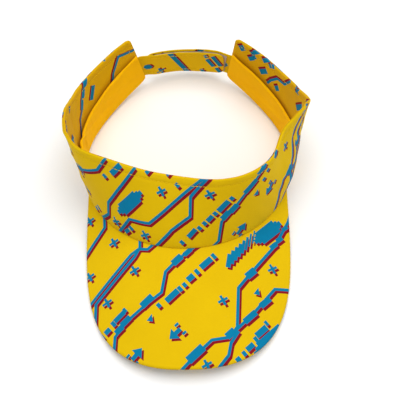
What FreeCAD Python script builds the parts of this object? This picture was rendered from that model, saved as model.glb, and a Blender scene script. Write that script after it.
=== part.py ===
import FreeCAD, Part
from FreeCAD import Vector

import math
import os

# Sun visor with a tall open head band, a stiff curved brim and a hook-and-loop strap closure.
# Millimetres. The visor lies on its brim and the lower edges of its wings: +Z up, brim towards -Y.
# The origin is the middle of the head opening between the temples, on the resting plane.

# Head ring, measured at the lower edge of the band's outer face
temple_half_width = 87.2
front_depth = 89.9
back_depth = 95.6
back_gap_half_width = 37.4
wing_bulge = 6.4
wing_bulge_depth = 38.9
wing_end_height = 8.6

# Upper edge of the band, measured from the lower edge below it
front_rise = 50.1
front_lean_back = 30.3
temple_rise = 72.4
temple_flare = 5.9
temple_lean_back = 1.1
wing_middle_rise = 52.1
wing_middle_flare = 7.7
wing_middle_lean_back = 5.8
wing_end_rise = 49.2
wing_end_flare = 6.7
wing_end_lean_forward = 2.1
wing_corner_radius = 5.0

# Brim
brim_half_width = 81.1
brim_side_start = 30.1
brim_reach = 150.8
brim_side_power = 2.38
brim_front_power = 4.08
brim_curve_radius = 205.0
brim_slope = 0.086
brim_board_thickness = 2.0
brim_turning_width = 2.8

# Cloth layers of the band, from the outer face inwards
cloth_thickness = 0.6
interlining_thickness = 0.8
layer_gap = 0.1
seam_allowance_height = 8.0
sweatband_thickness = 2.2
sweatband_height = 27.0
sweatband_end_height = 31.0
sweatband_round = 0.7

# Stitching
thread_width = 0.5
thread_height = 0.35
thread_gap = 0.05
top_stitch_distance = 6.0
sweatband_stitch_height = 3.0
end_stitch_distance = 5.0

# Straps and tapes
strap_thickness = 0.9
strap_height = 25.0
strap_sag = 2.5
strap_end_clearance = 3.0
strap_tip_radius = 7.0
strap_settle_length = 10.0
strap_root_length = 13.0
strap_hinge_gap = 0.5
tape_thickness = 0.8
tape_margin = 2.2
tape_start = 2.5
tape_tip_gap = 8.0
closure_gap = 1.0

# Clearances
crease_gap = 0.3
foot_clearance = 0.15
brim_edge_clearance = 0.05

# Depths of the band's layers, measured inwards from the outer face
interlining_depth = cloth_thickness + layer_gap
lining_depth = interlining_depth + interlining_thickness + layer_gap
band_depth = lining_depth + cloth_thickness
seam_allowance_depth = band_depth + layer_gap
sweatband_depth = seam_allowance_depth + cloth_thickness + layer_gap
root_depth = interlining_depth + interlining_thickness / 2
brim_thickness = 2 * cloth_thickness + brim_board_thickness + 2 * layer_gap
strap_stack = 2 * (strap_thickness + tape_thickness + layer_gap) + closure_gap


def sag(x):
    """Drop of the curved brim surface at distance x from its centre line."""
    return brim_curve_radius - math.sqrt(brim_curve_radius ** 2 - min(abs(x), brim_curve_radius) ** 2)


def outline_width(reach_share):
    """Half width of the brim at a share of its reach, 0 at the temples and 1 at the tip."""
    return (1 - reach_share ** brim_front_power) ** (1 / brim_side_power)


def brim_root_height():
    """Height of the brim's top face at the front centre that lets its lowest edge rest at zero."""
    deepest = 0
    for step in range(101):
        share = step / 100
        x = brim_half_width * outline_width(share)
        y = -brim_side_start - brim_reach * share
        deepest = max(deepest, sag(x) - brim_slope * (y + front_depth))
    return deepest + brim_thickness * 1.03


root_height = brim_root_height()


def brim_top(x, y):
    """Height of the brim's top face."""
    return root_height + brim_slope * (y + front_depth) - sag(x)


def front_lower(turn):
    x = temple_half_width * math.sin(turn)
    y = -front_depth * math.cos(turn)
    return Vector(x, y, brim_top(x, y) + foot_clearance)


temple_low = front_lower(math.pi / 2)
front_low = front_lower(0)
wing_end_depth = math.sqrt(back_depth ** 2 - back_gap_half_width ** 2)


def front_upper(turn):
    x = (temple_half_width + temple_flare) * math.sin(turn)
    reach = front_depth - front_lean_back + temple_lean_back
    y = temple_lean_back - reach * math.cos(turn)
    temple_z = temple_low.z + temple_rise
    front_z = front_low.z + front_rise
    return Vector(x, y, temple_z + (front_z - temple_z) * math.cos(turn) ** 2)


def bow(start, middle, end, share):
    """Point on a curve that leaves start and reaches end along lines through middle."""
    return start * (1 - share) ** 2 + middle * (2 * share * (1 - share)) + end * share ** 2


# The wings' lower edge just reaches the resting plane between the temple and the end.
wing_middle_z = -math.sqrt(temple_low.z * wing_end_height)
wing_middle_low = Vector(temple_half_width + wing_bulge, wing_bulge_depth, wing_middle_z)
wing_end_low = Vector(back_gap_half_width, wing_end_depth, wing_end_height)
wing_middle_top = wing_middle_low + Vector(wing_middle_flare, wing_middle_lean_back, wing_middle_rise)
wing_end_top = wing_end_low + Vector(wing_end_flare, -wing_end_lean_forward, wing_end_rise)


def wing_lower(share):
    return bow(temple_low, wing_middle_low, wing_end_low, share)


def wing_upper(share):
    return bow(front_upper(math.pi / 2), wing_middle_top, wing_end_top, share)


wing_end_speed = (wing_end_low - wing_middle_low).Length * 2
wing_start_speed = (wing_middle_low - temple_low).Length * 2


def wing_share(distance_from_end):
    """Share of the wing's length at a distance from its back end."""
    return 1 - distance_from_end / wing_end_speed


class Station:
    """A place along a band: its lower point, the upward line, the outward line and the height."""

    def __init__(self, low, top, ahead, turn=0.0, share=0.0):
        self.low = low
        self.height = (top - low).Length
        self.up = (top - low).normalize()
        self.out = ahead.cross(self.up).normalize()
        self.turn = turn
        self.share = share

    def at(self, out, up):
        return self.low + self.out * out + self.up * up


def front_station(turn):
    step = 0.01
    ahead = front_lower(turn + step) - front_lower(turn - step)
    ahead = ahead + front_upper(turn + step) - front_upper(turn - step)
    return Station(front_lower(turn), front_upper(turn), ahead, turn=turn)


def wing_station(share):
    step = 0.005
    ahead = wing_lower(share + step) - wing_lower(share - step)
    ahead = ahead + wing_upper(share + step) - wing_upper(share - step)
    return Station(wing_lower(share), wing_upper(share), ahead, share=share)


def front_stations(count=23):
    last = math.pi / 2 - crease_gap / temple_half_width
    return [front_station(-last + 2 * last * i / (count - 1)) for i in range(count)]


def wing_stations(start_share, end_share, count):
    return [wing_station(start_share + (end_share - start_share) * i / (count - 1)) for i in range(count)]


def smooth(share):
    share = max(0.0, min(1.0, share))
    return share * share * (3 - 2 * share)


def rail(points):
    curve = Part.BSplineCurve()
    last = len(points) - 1
    curve.interpolate(Points=points, Parameters=[i / last for i in range(last + 1)])
    return curve.toShape()


def ribbon(stations, section):
    """Solid swept through the stations; section gives its corners as (out, up) pairs at each one."""
    rings = [[station.at(out, up) for out, up in section(station)] for station in stations]
    rails = [rail(points) for points in zip(*rings)]
    faces = [Part.makeRuledSurface(rails[i - 1], rails[i]) for i in range(len(rails))]
    for ring in (rings[0], rings[-1]):
        faces.append(Part.Face(Part.makePolygon(ring + ring[:1])))
    solid = Part.makeSolid(Part.makeShell(faces))
    if solid.Volume < 0:
        solid.reverse()
    return solid


def layer(outer, inner, low, high):
    """Section of a plain layer; low and high are functions of the station and the depth."""
    def section(station):
        return [
            (outer, low(station, outer)),
            (outer, high(station)),
            (inner, high(station)),
            (inner, low(station, inner)),
        ]
    return section


def brim_foot(station, out, drop=0.0):
    """Upward distance at which a front layer stands on the brim, or reaches drop below its top."""
    up = 0.0
    for _ in range(12):
        point = station.at(out, up)
        miss = brim_top(point.x, point.y) + foot_clearance - drop - point.z
        up += miss / station.up.z
    return up


def front_foot(station, out):
    return brim_foot(station, out)


def flat_foot(station, out):
    return 0.0


def full_top(station):
    return station.height


def corner_top(station):
    """Top of a wing layer: rounded off over the last few millimetres before the end."""
    from_end = (1 - station.share) * wing_end_speed
    near = max(0.0, 1 - from_end / wing_corner_radius)
    return station.height - wing_corner_radius * (1 - math.sqrt(1 - 0.9 * near ** 2))


def lowered(top, amount):
    return lambda station: top(station) - amount


def padded(depth, bottom, top):
    """Section of a folded, padded strip with rounded long edges."""
    def section(station):
        outer = -depth
        inner = -depth - sweatband_thickness
        low = bottom(station)
        high = top(station)
        return [
            (outer - sweatband_round, low),
            (outer, low + sweatband_round),
            (outer, high - sweatband_round),
            (outer - sweatband_round, high),
            (inner + sweatband_round, high),
            (inner, high - sweatband_round),
            (inner, low + sweatband_round),
            (inner + sweatband_round, low),
        ]
    return section


def thread(face, side, height):
    """Section of a stitch row lying on a face; side is +1 outside and -1 inside the band."""
    near = face + side * thread_gap
    far = near + side * thread_height

    def section(station):
        low = height(station) - thread_width / 2
        return [(near, low), (near, low + thread_width), (far, low + thread_width), (far, low)]
    return section


def front_sweatband_bottom(station):
    depth_of_brim = brim_thickness * math.sqrt(max(0.0, math.cos(station.turn)))
    return brim_foot(station, -sweatband_depth, depth_of_brim)


def build_front():
    stations = front_stations()
    sweatband_face = -sweatband_depth - sweatband_thickness
    return {
        "front_outer_panel": ribbon(stations, layer(0, -cloth_thickness, front_foot, full_top)),
        "front_interlining": ribbon(stations, layer(
            -interlining_depth, -interlining_depth - interlining_thickness, front_foot,
            lowered(full_top, layer_gap))),
        "front_lining": ribbon(stations, layer(-lining_depth, -band_depth, front_foot, full_top)),
        "brim_seam_allowance": ribbon(stations, layer(
            -seam_allowance_depth, -seam_allowance_depth - cloth_thickness, front_foot,
            lambda station: brim_foot(station, -seam_allowance_depth) + seam_allowance_height)),
        "front_sweatband": ribbon(stations, padded(
            sweatband_depth, front_sweatband_bottom, lambda station: sweatband_height)),
        "front_top_stitching": ribbon(stations, thread(
            0, 1, lowered(full_top, top_stitch_distance))),
        "front_sweatband_stitching": ribbon(stations, thread(
            sweatband_face, -1, lambda station: front_sweatband_bottom(station) + sweatband_stitch_height)),
    }


def wing_sweatband_top(station):
    return sweatband_height + (sweatband_end_height - sweatband_height) * station.share


def build_wing():
    """The right wing; the left one is its mirror image."""
    first = crease_gap / wing_start_speed
    whole = wing_stations(first, 0.96, 15) + wing_stations(0.97, 1.0, 5)
    stiffened = wing_stations(first, wing_share(strap_root_length + 2), 15)
    stitched = wing_stations(first, wing_share(end_stitch_distance), 17)
    root = wing_stations(wing_share(strap_root_length), 1.0, 5)
    end_row = wing_stations(
        wing_share(end_stitch_distance - thread_gap - thread_width),
        wing_share(end_stitch_distance - thread_gap), 2)
    banded = wing_stations(first, wing_share(1.5), 17)
    sweatband_face = -sweatband_depth - sweatband_thickness
    end_rise = thread_gap + thread_height
    return {
        "outer_panel": ribbon(whole, layer(0, -cloth_thickness, flat_foot, corner_top)),
        "interlining": ribbon(stiffened, layer(
            -interlining_depth, -interlining_depth - interlining_thickness, flat_foot,
            lowered(full_top, layer_gap))),
        "lining": ribbon(whole, layer(-lining_depth, -band_depth, flat_foot, corner_top)),
        "sweatband": ribbon(banded, padded(
            sweatband_depth, lambda station: 0.3, wing_sweatband_top)),
        "top_stitching": ribbon(stitched, thread(0, 1, lowered(full_top, top_stitch_distance))),
        "sweatband_stitching": ribbon(banded, thread(
            sweatband_face, -1, lambda station: sweatband_stitch_height)),
        "strap_root": ribbon(root, layer(
            -root_depth + interlining_thickness / 2, -root_depth - interlining_thickness / 2,
            lambda station, out: 0.3, lambda station: strap_height + 0.3)),
        "end_stitching": ribbon(end_row, lambda station: [
            (thread_gap, 2.0),
            (thread_gap, station.height - top_stitch_distance),
            (end_rise, station.height - top_stitch_distance),
            (end_rise, 2.0),
        ]),
    }


wing_end = wing_station(1.0)
root_point = wing_end.at(-root_depth, 0)
root_radius = math.hypot(root_point.x, root_point.y)
root_angle = math.atan2(root_point.x, root_point.y)
tip_angle = -root_angle + strap_end_clearance / back_depth


def strap_station(distance, shift, length):
    """Place on a strap that leaves the right wing: distance from the root along the back arc."""
    angle = root_angle - (distance + 2 * strap_hinge_gap) / back_depth
    settled = smooth(distance / strap_settle_length)
    radius = root_radius + shift * settled
    lean = wing_end.up * (1 - settled) + Vector(0, 0, 1) * settled
    drop = strap_sag * (math.cos(angle) - math.cos(root_angle)) / (1 - math.cos(root_angle))
    low = Vector(radius * math.sin(angle), radius * math.cos(angle), root_point.z + 0.3 - drop)
    ahead = Vector(-math.cos(angle), math.sin(angle), 0)
    top = low + lean.normalize() * strap_height
    return Station(low, top, ahead, turn=max(0.0, 1 - (length - distance) / strap_tip_radius))


def tip_inset(station):
    """How far the strap's long edges draw in near its rounded tip."""
    return strap_tip_radius * (1 - math.sqrt(1 - 0.95 * station.turn ** 2))


def build_strap(shift, tape_side):
    """Strap and tape for the right wing; tape_side is +1 for a tape on the outer face."""
    length = (root_angle - tip_angle) * back_depth - 2 * strap_hinge_gap
    straight = [length * i / 19 * (1 - strap_tip_radius / length) for i in range(20)]
    tip = [length - strap_tip_radius * (1 - i / 6) for i in range(1, 7)]
    stations = [strap_station(distance, shift, length) for distance in straight + tip]
    tape_length = length - tape_start - tape_tip_gap
    taped = [strap_station(tape_start + tape_length * i / 17, shift, length) for i in range(18)]
    half = strap_thickness / 2
    near = tape_side * (half + layer_gap)
    far = near + tape_side * tape_thickness
    other_face = -tape_side * half
    strap = ribbon(stations, lambda station: [
        (half, tip_inset(station)),
        (half, station.height - tip_inset(station)),
        (-half, station.height - tip_inset(station)),
        (-half, tip_inset(station)),
    ])
    tape = ribbon(taped, layer(
        near, far, lambda station, out: tape_margin, lambda station: strap_height - tape_margin))
    stitching = ribbon(taped, thread(other_face, -tape_side, lambda station: strap_height - tape_margin - 1))
    return strap, tape, stitching


def across(start, end):
    """Straight edge between two points."""
    return Part.makeLine(start, end)


def brim_outline(inset):
    """Closed outline of the brim in plan, drawn in by inset; the closing line crosses the opening."""
    shares = [0, 0.15, 0.3, 0.45, 0.6, 0.7, 0.78, 0.85]
    side = [(outline_width(share), share) for share in shares]
    widest = side[-1][0]
    for width in (0.86, 0.7, 0.52, 0.34, 0.17):
        x_share = widest * width
        side.append((x_share, (1 - x_share ** brim_side_power) ** (1 / brim_front_power)))
    half_width = brim_half_width - inset
    reach = brim_reach - inset
    right = [Vector(half_width * x, -brim_side_start - reach * share, -60) for x, share in side]
    tip = [Vector(0, -brim_side_start - reach, -60)]
    left = [Vector(-point.x, point.y, point.z) for point in reversed(right)]
    points = right + tip + left
    return Part.Wire([rail(points), across(points[-1], points[0])])


def brim_prism(inset):
    return Part.Face(brim_outline(inset)).extrude(Vector(0, 0, 140))


def brim_cylinder(depth):
    """Everything below the brim's curved top face lowered by depth."""
    tilt = math.atan(brim_slope)
    behind = 60.0
    radius = brim_curve_radius - depth
    top_z = root_height + brim_slope * (behind + front_depth)
    axis_z = top_z - brim_curve_radius / math.cos(tilt)
    reach = front_depth + brim_reach + 200
    return Part.makeCylinder(
        radius, reach, Vector(0, behind, axis_z), Vector(0, -math.cos(tilt), -math.sin(tilt)))


def head_space():
    """Everything inside the band's lining, from below the brim to well above it."""
    wires = []
    for z in (-40.0, root_height + 30.0):
        points = []
        for station in front_stations():
            start = station.at(-band_depth - brim_edge_clearance, 0)
            points.append(start + station.up * ((z - start.z) / station.up.z))
        wires.append(Part.Wire([rail(points), across(points[-1], points[0])]))
    return Part.makeLoft(wires, True, True)


def brim_plate(top_depth, thickness, prism, space):
    plate = brim_cylinder(top_depth).cut(brim_cylinder(top_depth + thickness))
    plate = plate.common(prism).cut(space)
    return max(plate.Solids, key=lambda solid: solid.Volume)


def build_brim():
    space = head_space()
    whole = brim_prism(0)
    board = brim_prism(brim_turning_width)
    board_depth = cloth_thickness + layer_gap
    turning = whole.cut(brim_prism(brim_turning_width - layer_gap))
    under_depth = board_depth + brim_board_thickness + layer_gap
    return {
        "brim_top_cover": brim_plate(0, cloth_thickness, whole, space),
        "brim_board": brim_plate(board_depth, brim_board_thickness, board, space),
        "brim_edge_seam_allowance": brim_plate(board_depth, brim_board_thickness, turning, space),
        "brim_under_cover": brim_plate(under_depth, cloth_thickness, whole, space),
    }


def build_all():
    parts = build_brim()
    parts.update(build_front())
    for name, solid in build_wing().items():
        parts["right_wing_" + name] = solid
        parts["left_wing_" + name] = solid.mirror(Vector(0, 0, 0), Vector(1, 0, 0))
    middle = root_depth - band_depth / 2
    inner_shift = middle - strap_stack / 2 + strap_thickness / 2
    outer_shift = middle + strap_stack / 2 - strap_thickness / 2
    inner = build_strap(inner_shift, 1)
    for name, solid in zip(("inner_strap", "inner_strap_loop_tape", "inner_strap_stitching"), inner):
        parts[name] = solid.mirror(Vector(0, 0, 0), Vector(1, 0, 0))
    outer = build_strap(outer_shift, -1)
    for name, solid in zip(("outer_strap", "outer_strap_hook_tape", "outer_strap_stitching"), outer):
        parts[name] = solid
    return parts


os.makedirs("parts", exist_ok=True)
for node, shape in build_all().items():
    shape.exportStep("parts/" + node + ".step")
    print(node, "volume %.0f mm3" % shape.Volume, "closed" if shape.isValid() else "NOT VALID")
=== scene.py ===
import math
import random

import bpy
import numpy as np
from mathutils import Matrix, Vector
from mathutils.geometry import delaunay_2d_cdt


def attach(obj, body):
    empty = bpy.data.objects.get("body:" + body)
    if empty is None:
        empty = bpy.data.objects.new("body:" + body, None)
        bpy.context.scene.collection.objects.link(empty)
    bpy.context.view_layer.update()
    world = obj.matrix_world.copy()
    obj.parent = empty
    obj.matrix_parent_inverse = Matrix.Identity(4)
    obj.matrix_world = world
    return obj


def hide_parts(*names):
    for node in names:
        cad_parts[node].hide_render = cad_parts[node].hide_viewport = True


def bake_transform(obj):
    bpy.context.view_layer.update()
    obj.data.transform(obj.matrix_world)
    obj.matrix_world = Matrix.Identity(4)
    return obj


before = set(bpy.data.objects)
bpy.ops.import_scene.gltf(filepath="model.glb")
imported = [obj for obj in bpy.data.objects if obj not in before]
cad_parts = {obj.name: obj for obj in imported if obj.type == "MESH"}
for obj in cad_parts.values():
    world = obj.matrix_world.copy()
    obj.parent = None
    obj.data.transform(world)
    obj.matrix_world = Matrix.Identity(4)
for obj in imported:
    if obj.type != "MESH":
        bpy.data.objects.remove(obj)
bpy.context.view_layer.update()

mm = 0.001

# Shapes are worked out in millimetres in the CAD frame: s runs along the band from its front
# centre (negative to the left), t up it from its lower edge, depth inwards from its outer face.

band = {
    "templeHalfWidth": 87.2, "frontDepth": 89.9, "backDepth": 95.6, "backGapHalfWidth": 37.4,
    "wingBulge": 6.4, "wingBulgeDepth": 38.9, "wingEndHeight": 8.6,
    "frontRise": 50.1, "frontLeanBack": 30.3,
    "templeRise": 72.4, "templeFlare": 5.9, "templeLeanBack": 1.1,
    "wingMiddleRise": 52.1, "wingMiddleFlare": 7.7, "wingMiddleLeanBack": 5.8,
    "wingEndRise": 49.2, "wingEndFlare": 6.7, "wingEndLeanForward": 2.1, "wingCornerRadius": 5.0,
    "thickness": 2.2, "foldRadius": 1.1, "clothThickness": 0.5, "footGap": 0.15,
    "stitchDistance": 6.0,
}

brim = {
    "halfWidth": 81.1, "sideStart": 30.1, "reach": 150.8, "sidePower": 2.38, "frontPower": 4.08,
    "curveRadius": 205.0, "slope": 0.086, "thickness": 3.4, "rootHeight": 21.03,
    "clothThickness": 0.45, "edgeRadius": 1.7,
    "weltDepth": 0.12, "weltPlace": 2.9, "weltWidth": 0.8,
}


def stack(x, y, z):
    return np.stack(np.broadcast_arrays(x, y, z), -1).astype(float)


def unit(v):
    return v / np.maximum(np.linalg.norm(v, axis=-1, keepdims=True), 1e-12)


def lengthAlong(points):
    return np.concatenate([[0], np.cumsum(np.linalg.norm(np.diff(points, axis=0), axis=1))])


def signedArea(loop):
    x, y = loop[:, 0], loop[:, 1]
    return np.sum(x * np.roll(y, -1) - np.roll(x, -1) * y) / 2


def smoothStep(x):
    x = np.clip(x, 0, 1)
    return x * x * (3 - 2 * x)


def hump(x, centre, width):
    return np.exp(-((x - centre) / width) ** 2)


def brimHeight(x, y):
    x = np.clip(np.abs(x), 0, brim["curveRadius"] - 1)
    sag = brim["curveRadius"] - np.sqrt(brim["curveRadius"] ** 2 - x * x)
    return brim["rootHeight"] + brim["slope"] * (y + band["frontDepth"]) - sag


def frontEdges(turn):
    x = band["templeHalfWidth"] * np.sin(turn)
    y = -band["frontDepth"] * np.cos(turn)
    low = stack(x, y, brimHeight(x, y) + band["footGap"])
    templeZ = brimHeight(band["templeHalfWidth"], 0) + band["footGap"] + band["templeRise"]
    frontZ = brim["rootHeight"] + band["footGap"] + band["frontRise"]
    reach = band["frontDepth"] - band["frontLeanBack"] + band["templeLeanBack"]
    x = (band["templeHalfWidth"] + band["templeFlare"]) * np.sin(turn)
    y = band["templeLeanBack"] - reach * np.cos(turn)
    return low, stack(x, y, templeZ + (frontZ - templeZ) * np.cos(turn) ** 2)


def wingEdges(share):
    templeLow, templeTop = [edge[0] for edge in frontEdges(np.array([math.pi / 2]))]
    endDepth = math.sqrt(band["backDepth"] ** 2 - band["backGapHalfWidth"] ** 2)
    middleZ = -math.sqrt(templeLow[2] * band["wingEndHeight"])
    middleX = band["templeHalfWidth"] + band["wingBulge"]
    middleLow = np.array([middleX, band["wingBulgeDepth"], middleZ])
    endLow = np.array([band["backGapHalfWidth"], endDepth, band["wingEndHeight"]])
    middleTop = middleLow + [
        band["wingMiddleFlare"], band["wingMiddleLeanBack"], band["wingMiddleRise"]]
    endTop = endLow + [band["wingEndFlare"], -band["wingEndLeanForward"], band["wingEndRise"]]
    k = share[:, None]

    def bow(start, middle, end):
        return start * (1 - k) ** 2 + middle * 2 * k * (1 - k) + end * k * k
    return bow(templeLow, middleLow, endLow), bow(templeTop, middleTop, endTop)


# The right half of the band as a table: length along its middle, then its edges and directions.
frontTurns = np.linspace(0, math.pi / 2, 400)
frontLow, frontTop = frontEdges(frontTurns)
wingLow, wingTop = wingEdges(np.linspace(0, 1, 300)[1:])
halfLow = np.concatenate([frontLow, wingLow])
halfTop = np.concatenate([frontTop, wingTop])
halfMiddle = (halfLow + halfTop) / 2
halfLength = lengthAlong(halfMiddle)
templeLength = halfLength[len(frontTurns) - 1]
endLength = halfLength[-1]
halfUp = unit(halfTop - halfLow)
halfOut = unit(np.cross(unit(np.gradient(halfMiddle, halfLength, axis=0)), halfUp))
halfHeight = np.linalg.norm(halfTop - halfLow, axis=1)


def lookUp(position, lengths, table):
    return np.stack([np.interp(position, lengths, column) for column in table.T], -1)


def topHeight(s):
    height = np.interp(np.abs(s), halfLength, halfHeight)
    near = np.clip(1 - (endLength - np.abs(s)) / band["wingCornerRadius"], 0, 1)
    return height - band["wingCornerRadius"] * (1 - np.sqrt(1 - 0.9 * near ** 2))


drape = {
    # how far the soft upper edge stands out (or in, below zero) at places along the band
    "upperEdge": [
        (-239, 4), (-224, 3.8), (-208, 2.5), (-192, 1.5), (-176, 0), (-160, -2), (-144, -2.5),
        (-132, -1.5), (-120, -0.2), (-108, 1.0), (-96, 1.2), (-86, 0.5), (-78, -1.5), (-70, -3.6),
        (-62, -5.5), (-50, -7.4), (-34, -8.8), (-18, -9.3), (-8, -8.6), (0, -6.8), (8, -4),
        (16, -0.8), (26, 2.4), (38, 4.1), (50, 3.4), (62, 1.5), (72, -1), (80, -3.8), (88, -5.5),
        (97, -6), (106, -5.1), (114, -3.8), (122, -2), (130, 0.6), (138, 2.3), (146, 2),
        (160, 0.2), (184, 0.5), (208, 1.3), (224, 1.4), (239, 0.4),
    ],
    # soft creases: place along and up the band, direction in degrees, length, width, depth
    "creases": [
        (-118, 52, 62, 20, 2.6, 1.2), (-124, 38, 80, 18, 2.4, -1.1), (-112, 40, 50, 22, 3, 1),
        (-136, 46, 105, 20, 2.6, 1.3), (-145, 40, 120, 18, 3, -1.1), (-128, 20, 92, 16, 2.8, 1),
        (-104, 20, 40, 18, 3.4, 0.6), (-158, 48, 135, 16, 3.2, 0.5), (-190, 30, 160, 26, 4, -0.6),
        (-215, 44, 150, 18, 3.5, 0.5), (-60, 10, 65, 12, 3.2, 0.5), (-42, 8, 95, 10, 3, -0.5),
        (-14, 12, 100, 13, 3.6, 0.5), (8, 9, 80, 11, 3.2, -0.5), (34, 12, 110, 14, 3.4, 0.5),
        (62, 14, 120, 14, 3.6, 0.6), (84, 18, 128, 20, 3.4, -0.7), (98, 30, 112, 22, 3.2, 0.8),
        (112, 42, 100, 20, 3, -0.8), (122, 50, 88, 18, 2.8, 0.7), (134, 44, 75, 18, 2.6, 0.9),
        (142, 34, 60, 18, 2.8, -0.7), (156, 46, 45, 20, 3.2, 0.6), (184, 36, 20, 26, 4, -0.5),
        (90, 66, 20, 12, 2.6, -0.9), (78, 64, 12, 10, 2.4, 0.8),
    ],
    "fullHeight": 52, "power": 1.4, "smoothing": 4.2, "settleStart": 4, "settleLength": 25,
    "belly": 3.5, "bellyPlace": 108.0, "bellyWidth": 26.0, "waves": 0.5,
}
drapeAt = np.arange(-250, 251, 1.0)
drapePush = np.interp(drapeAt, *zip(*drape["upperEdge"]))
window = hump(np.arange(-12, 13), 0, drape["smoothing"])
drapePush = np.convolve(np.pad(drapePush, 12, mode="edge"), window / window.sum(), mode="valid")


def creasePush(s, t, creases):
    push = np.zeros(np.broadcast(s, t).shape)
    for place, height, angle, length, width, depth in creases:
        c, k = math.cos(math.radians(angle)), math.sin(math.radians(angle))
        along = (s - place) * c + (t - height) * k
        across = (t - height) * c - (s - place) * k
        push = push + depth * np.exp(-(along / length) ** 2 - (across / width) ** 2)
    return push


def bandDrape(s, t):
    # outward push of the soft cloth: none at its foot, most at its upper edge
    share = np.clip(t / drape["fullHeight"], 0, 1.4)
    push = np.interp(s, drapeAt, drapePush) * share ** drape["power"]
    belly = drape["belly"] * hump(s, drape["bellyPlace"], drape["bellyWidth"])
    push = push + belly * np.sin(np.pi * np.clip(share, 0, 1))
    settled = smoothStep((endLength - np.abs(s) - drape["settleStart"]) / drape["settleLength"])
    push = push + creasePush(s, t, drape["creases"]) * settled * np.clip(t / 6, 0, 1)
    side = np.where(s < 0, -1.0, 1.0)
    wave = np.sin(s / 17.0 + 0.8 * side) * np.cos(s / 41.0 + t / 33.0)
    return push + drape["waves"] * settled * share * wave


def bandPoint(s, t, depth):
    s, t, depth = np.broadcast_arrays(s, t, depth)
    a = np.abs(s)
    points = lookUp(a, halfLength, halfLow) + lookUp(a, halfLength, halfUp) * t[..., None]
    out = lookUp(a, halfLength, halfOut)
    points = points + out * (bandDrape(s, t) - depth)[..., None]
    points[..., 0] *= np.where(s < 0, -1, 1)
    return points


def footHeight(s, depth, drop=0.0):
    # how far up the band a layer stands on the brim, or reaches drop below the brim's top
    s = np.asarray(s, float)
    t = np.zeros_like(s)
    for _ in range(6):
        p = bandPoint(s, t, np.zeros_like(s) + depth)
        t = t + (brimHeight(p[..., 0], p[..., 1]) + band["footGap"] - drop - p[..., 2]) * 1.1
    return t * smoothStep((templeLength - np.abs(s)) / 14)


def counterClockwise(loop):
    loop = np.asarray(loop, float)
    return loop if signedArea(loop) > 0 else loop[::-1]


def densify(points, step):
    # splits a closed outline's edges so that none is longer than step
    points = np.asarray(points, float)
    result = []
    for a, b in zip(points, np.roll(points, -1, 0)):
        count = max(1, int(math.ceil(np.linalg.norm(b - a) / step)))
        result += [a + (b - a) * i / count for i in range(count)]
    return np.array(result)


def addMesh(name, points, faces, materials, slots, flat):
    # a smooth mesh in metres, with a flat pattern that the cloth's weave follows
    mesh = bpy.data.meshes.new(name)
    mesh.from_pydata((np.asarray(points) * mm).tolist(), [], faces)
    for material in materials:
        mesh.materials.append(material)
    if slots is not None:
        mesh.polygons.foreach_set("material_index", slots)
    mesh.polygons.foreach_set("use_smooth", [True] * len(mesh.polygons))
    layer = mesh.uv_layers.new(name="flat")
    corner = np.zeros(len(mesh.loops), int)
    mesh.loops.foreach_get("vertex_index", corner)
    layer.data.foreach_set("uv", (np.asarray(flat)[corner] * mm).astype(np.float32).ravel())
    mesh.update()
    obj = bpy.data.objects.new(name, mesh)
    bpy.context.scene.collection.objects.link(obj)
    return obj


def normalsOf(mapper, flat):
    # the surface's normals, from small steps on the flat pattern
    step = 0.05
    du = mapper(flat + [step, 0]) - mapper(flat - [step, 0])
    dv = mapper(flat + [0, step]) - mapper(flat - [0, step])
    return unit(np.cross(du, dv))


def declareCloth(outline):
    # prints the size of the cloth cut to the outline and its area, which is the outline's own
    size = outline.max(0) - outline.min(0)
    size = np.maximum(size, 10.1)
    area = float(min(abs(signedArea(outline)), size[0] * size[1]))
    print("  cut", [round(float(v), 1) for v in size], "mm, area", round(area / 100, 1), "cm2")


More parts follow.
